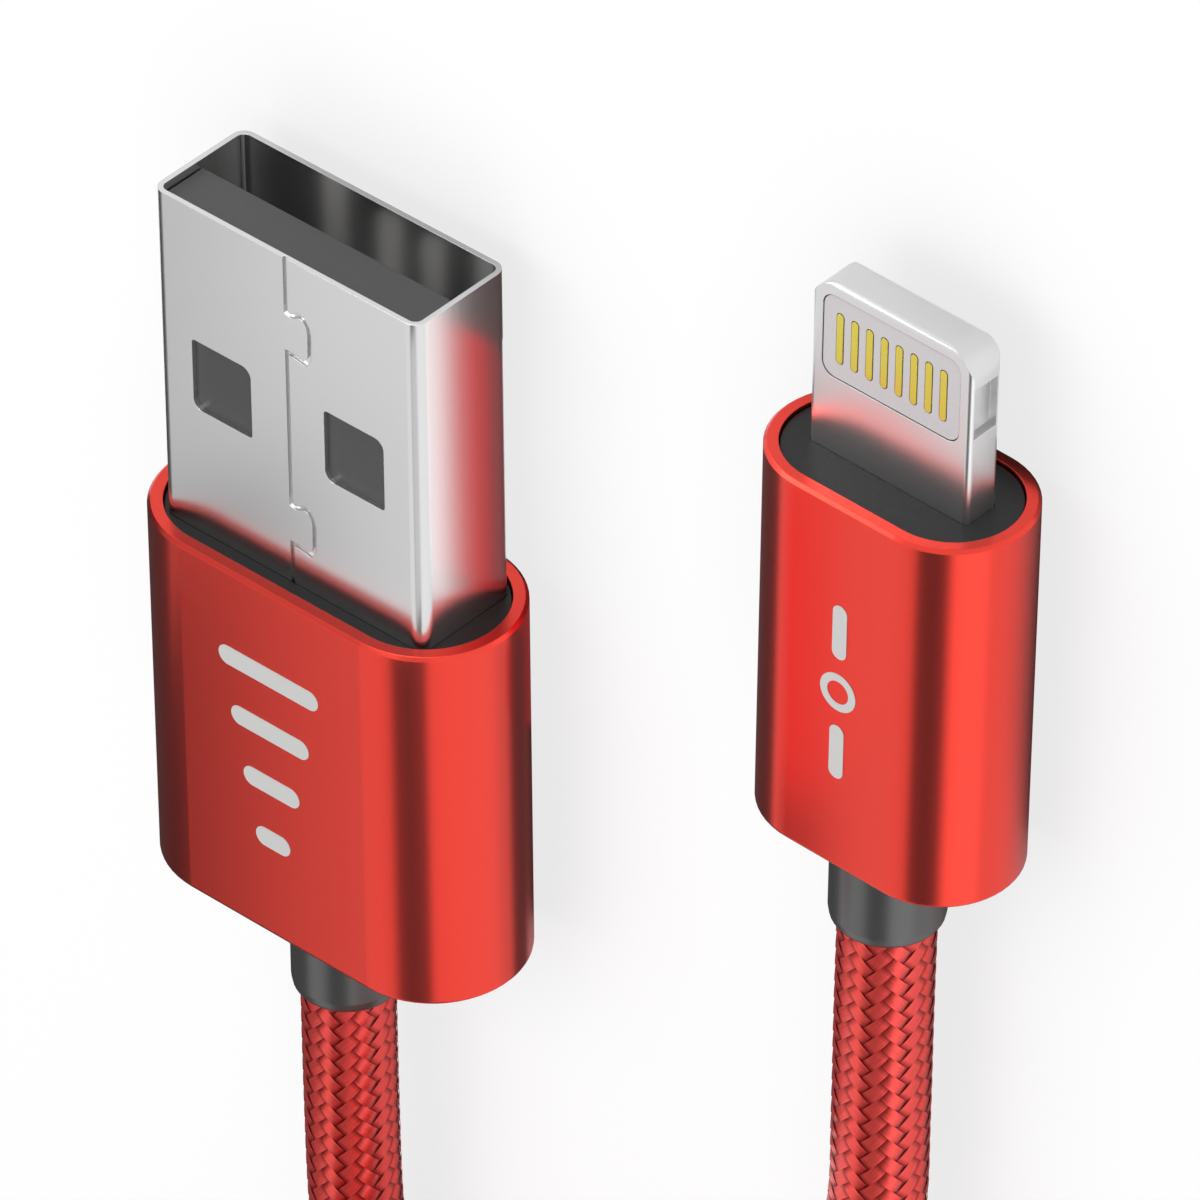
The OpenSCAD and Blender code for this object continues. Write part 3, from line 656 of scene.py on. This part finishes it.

# %% [markdown]
# ## Studio
# A pale floor, a white world and two soft lamps light the cable evenly. Emission on the floor keeps it white
# to the camera, and a diffuse share keeps the cable's shadow. That share's colour also carries painted shade:
# it is darker where something stands close, and the plugs show this painted shade where they reflect the floor.

# %% Floor
FLOOR_SIZE, FLOOR_DROP = 4, 0.02
PAINTED_SHADE_REACH = 7
bpy.ops.mesh.primitive_plane_add(size=FLOOR_SIZE, location=(0, 0, -FLOOR_DROP * MM))
floor = bpy.context.object
floor.name = "floor"
paint = bpy.data.materials.new("white_paint")
paint.use_nodes = True
tree = paint.node_tree
tree.nodes.clear()
# Painted shade: the AO node darkens the floor's diffuse colour close to the cable and the plugs.
painted_contact_shade = node(tree, "AmbientOcclusion", {"Distance": PAINTED_SHADE_REACH * MM}, samples=8).outputs["AO"]
painted_shade_greys = {"Value": painted_contact_shade, "From Min": 0.3, "From Max": 0.95, "To Min": 0.1, "To Max": 0.9}
lit = node(tree, "BsdfDiffuse", {"Color": node(tree, "MapRange", painted_shade_greys).outputs["Result"]})
glow = node(tree, "Emission", {"Color": (1, 1, 1, 1), "Strength": 1.0})
ray = node(tree, "LightPath")
share = node(tree, "Math", {0: ray.outputs["Is Camera Ray"], 1: 0.8}, operation="MULTIPLY")
both = node(tree, "MixShader", {0: share.outputs["Value"], 1: lit.outputs[0], 2: glow.outputs[0]})
tree.links.new(both.outputs[0], node(tree, "OutputMaterial").inputs["Surface"])
floor.data.materials.append(paint)
print("floor below the cable in mm:", FLOOR_DROP)

# %% [markdown]
# ### Cards round the plugs
# Shiny metal shows what surrounds it, so a studio sets black flags and white reflectors round it. Here they
# are cards that only reflections see, so what they draw is painted reflection. The flags draw the dark bands
# on the round ends of the housings, the reflectors the bright bands beside them, and the veils lie between:
# they are grey, or red where one plug should be seen in the other, a painted reflection of the red housing.
# The cards that lie flat on the table change what the plugs reflect of the table beside and under them: the
# dark ones paint shade there, and the pale ones paint light, also where the real table lies in shade. Each
# card is a rectangle between two corners in millimetres, in the CAD model's own frame, so the places can be
# compared with the plugs' places.

# %% A card
def card(name, low, high, brightness, code="#FFFFFF"):
    """A flat rectangle between two corners in mm, one of whose sides is 0. Only reflections see it."""
    x, y, z = [(high[k] - low[k]) * MM for k in range(3)]
    bpy.ops.mesh.primitive_plane_add(size=1, location=[(low[k] + high[k]) / 2 * MM for k in range(3)])
    made = bpy.context.object
    made.name = name
    if x == 0:
        made.rotation_euler, made.scale = (0, math.pi / 2, 0), (z, y, 1)
    elif y == 0:
        made.rotation_euler, made.scale = (math.pi / 2, 0, 0), (x, z, 1)
    else:
        made.scale = (x, y, 1)
    made.visible_camera = made.visible_diffuse = made.visible_shadow = made.visible_transmission = False
    felt = bpy.data.materials.new(name)
    felt.use_nodes = True
    tree = felt.node_tree
    tree.nodes.clear()
    glow = node(tree, "Emission", {"Color": colour(code), "Strength": brightness})
    tree.links.new(glow.outputs[0], node(tree, "OutputMaterial").inputs["Surface"])
    made.data.materials.append(felt)
    print(name, "brightness:", brightness)


# %% Flags, veils and reflectors
# Each card below is a painted reflection: dark ones paint shade, pale ones paint light, red ones the housings'
# red.
card("flag_above", (-14, -900, 400), (330, -50, 400), 0.12)
card("flag_front", (-110, 38, 60), (-48, 120, 60), 0.5)
card("flag_left", (-39, -200, 0), (-39, -27, 35), 0.08)
card("flag_left_end", (-39, -27, 0), (-39, 10, 20), 0.08)
card("veil_left", (-39, -27, 20), (-39, 10, 34), 0.7)
card("flag_left_low", (-39, -120, 0.05), (-18.8, -7, 0.05), 0.06)
card("flag_between", (4, -20, 0.05), (9, 6, 0.05), 0.06)
card("flag_slim", (4.7, -22, 0.1), (4.7, 12, 8.6), 0.07)
card("flag_low", (-3.6, -21, 0.06), (-1.3, -3.6, 0.06), 0.1)
card("veil_pink", (3, -5.5, 12), (7.6, 8.5, 12), 1.02, "#FF8C8C")
card("veil_pink_low", (3, -12, 12), (7.6, -5.5, 12), 0.42, "#FF9C9C")
card("veil_dark_red", (-5.2, -8, 0.05), (-2.9, 7.3, 0.05), 1.0, "#85484A")
card("veil_red", (-2.9, -8, 0.05), (-0.9, 7.3, 0.05), 1.0, "#E8140F")
card("veil_grey", (-5.2, 7.3, 0.05), (-0.9, 12, 0.05), 1.0, "#5A4A48")
card("reflector_right", (400, -900, 0), (400, 300, 380), 1.5)
card("reflector_between", (2, -30, 0.1), (2, 13, 14), 1.06)
card("reflector_mouth", (-22, 34, 4), (0, 34, 30), 5)
card("veil_corner", (-5.2, -3.2, 9), (-1.8, 9, 9), 0.75)
card("reflector_low", (-0.9, -5, 0.05), (3, 12, 0.05), 1.5)
card("reflector_low_rear", (-0.9, -30, 0.05), (3, -5, 0.05), 0.8)
card("reflector_low_slim", (19.2, 12.5, 0.05), (30, 24, 0.05), 1.1)
card("reflector_under_shell", (-17, -1.3, 0.05), (-5.2, 8, 0.05), 0.9)
card("reflector_under_tab", (10, 14.8, 0.05), (18.6, 22, 0.05), 0.9)

# %% [markdown]
# ### World and lamps
# The world is white to the camera and in reflections, and a little dimmer as a light, so that red renders
# about as it is written. Two square lamps give the plugs a soft top light and a fill in front of the mouths.
# Spots would draw hard shadows.

# %% World
WORLD_LIGHT = 0.7
scene = bpy.context.scene
scene.view_settings.view_transform = "Standard"
world = bpy.data.worlds.new("studio")
scene.world = world
world.use_nodes = True
tree = world.node_tree
tree.nodes.clear()
ray = node(tree, "LightPath")
plain = node(tree, "Background", {"Color": (1, 1, 1, 1), "Strength": 1.0})
soft_light = node(tree, "Background", {"Color": (1, 1, 1, 1), "Strength": WORLD_LIGHT})
inputs = {0: ray.outputs["Is Camera Ray"], 1: ray.outputs["Is Glossy Ray"]}
seen = node(tree, "Math", inputs, operation="MAXIMUM")
mixed = node(tree, "MixShader", {0: seen.outputs["Value"], 1: soft_light.outputs[0], 2: plain.outputs[0]})
tree.links.new(mixed.outputs[0], node(tree, "OutputWorld").inputs["Surface"])
print("world as a light:", WORLD_LIGHT)


# %% Lamps
def softbox(name, at, size, energy):
    """A square lamp that looks at the plugs. Reflections don't see it, because the cards draw those."""
    data = bpy.data.lights.new(name, "AREA")
    data.shape, data.size, data.energy = "SQUARE", size, energy
    lamp = bpy.data.objects.new(name, data)
    lamp.location = at
    lamp.rotation_euler = (-lamp.location).to_track_quat("-Z", "Y").to_euler()
    bpy.context.collection.objects.link(lamp)
    lamp.visible_glossy = False
    print(name, "energy:", energy)


softbox("softbox_above", (-0.1, 0.15, 0.6), 0.5, 2.0)
softbox("softbox_front", (-0.03, 0.5, 0.08), 0.2, 0.5)
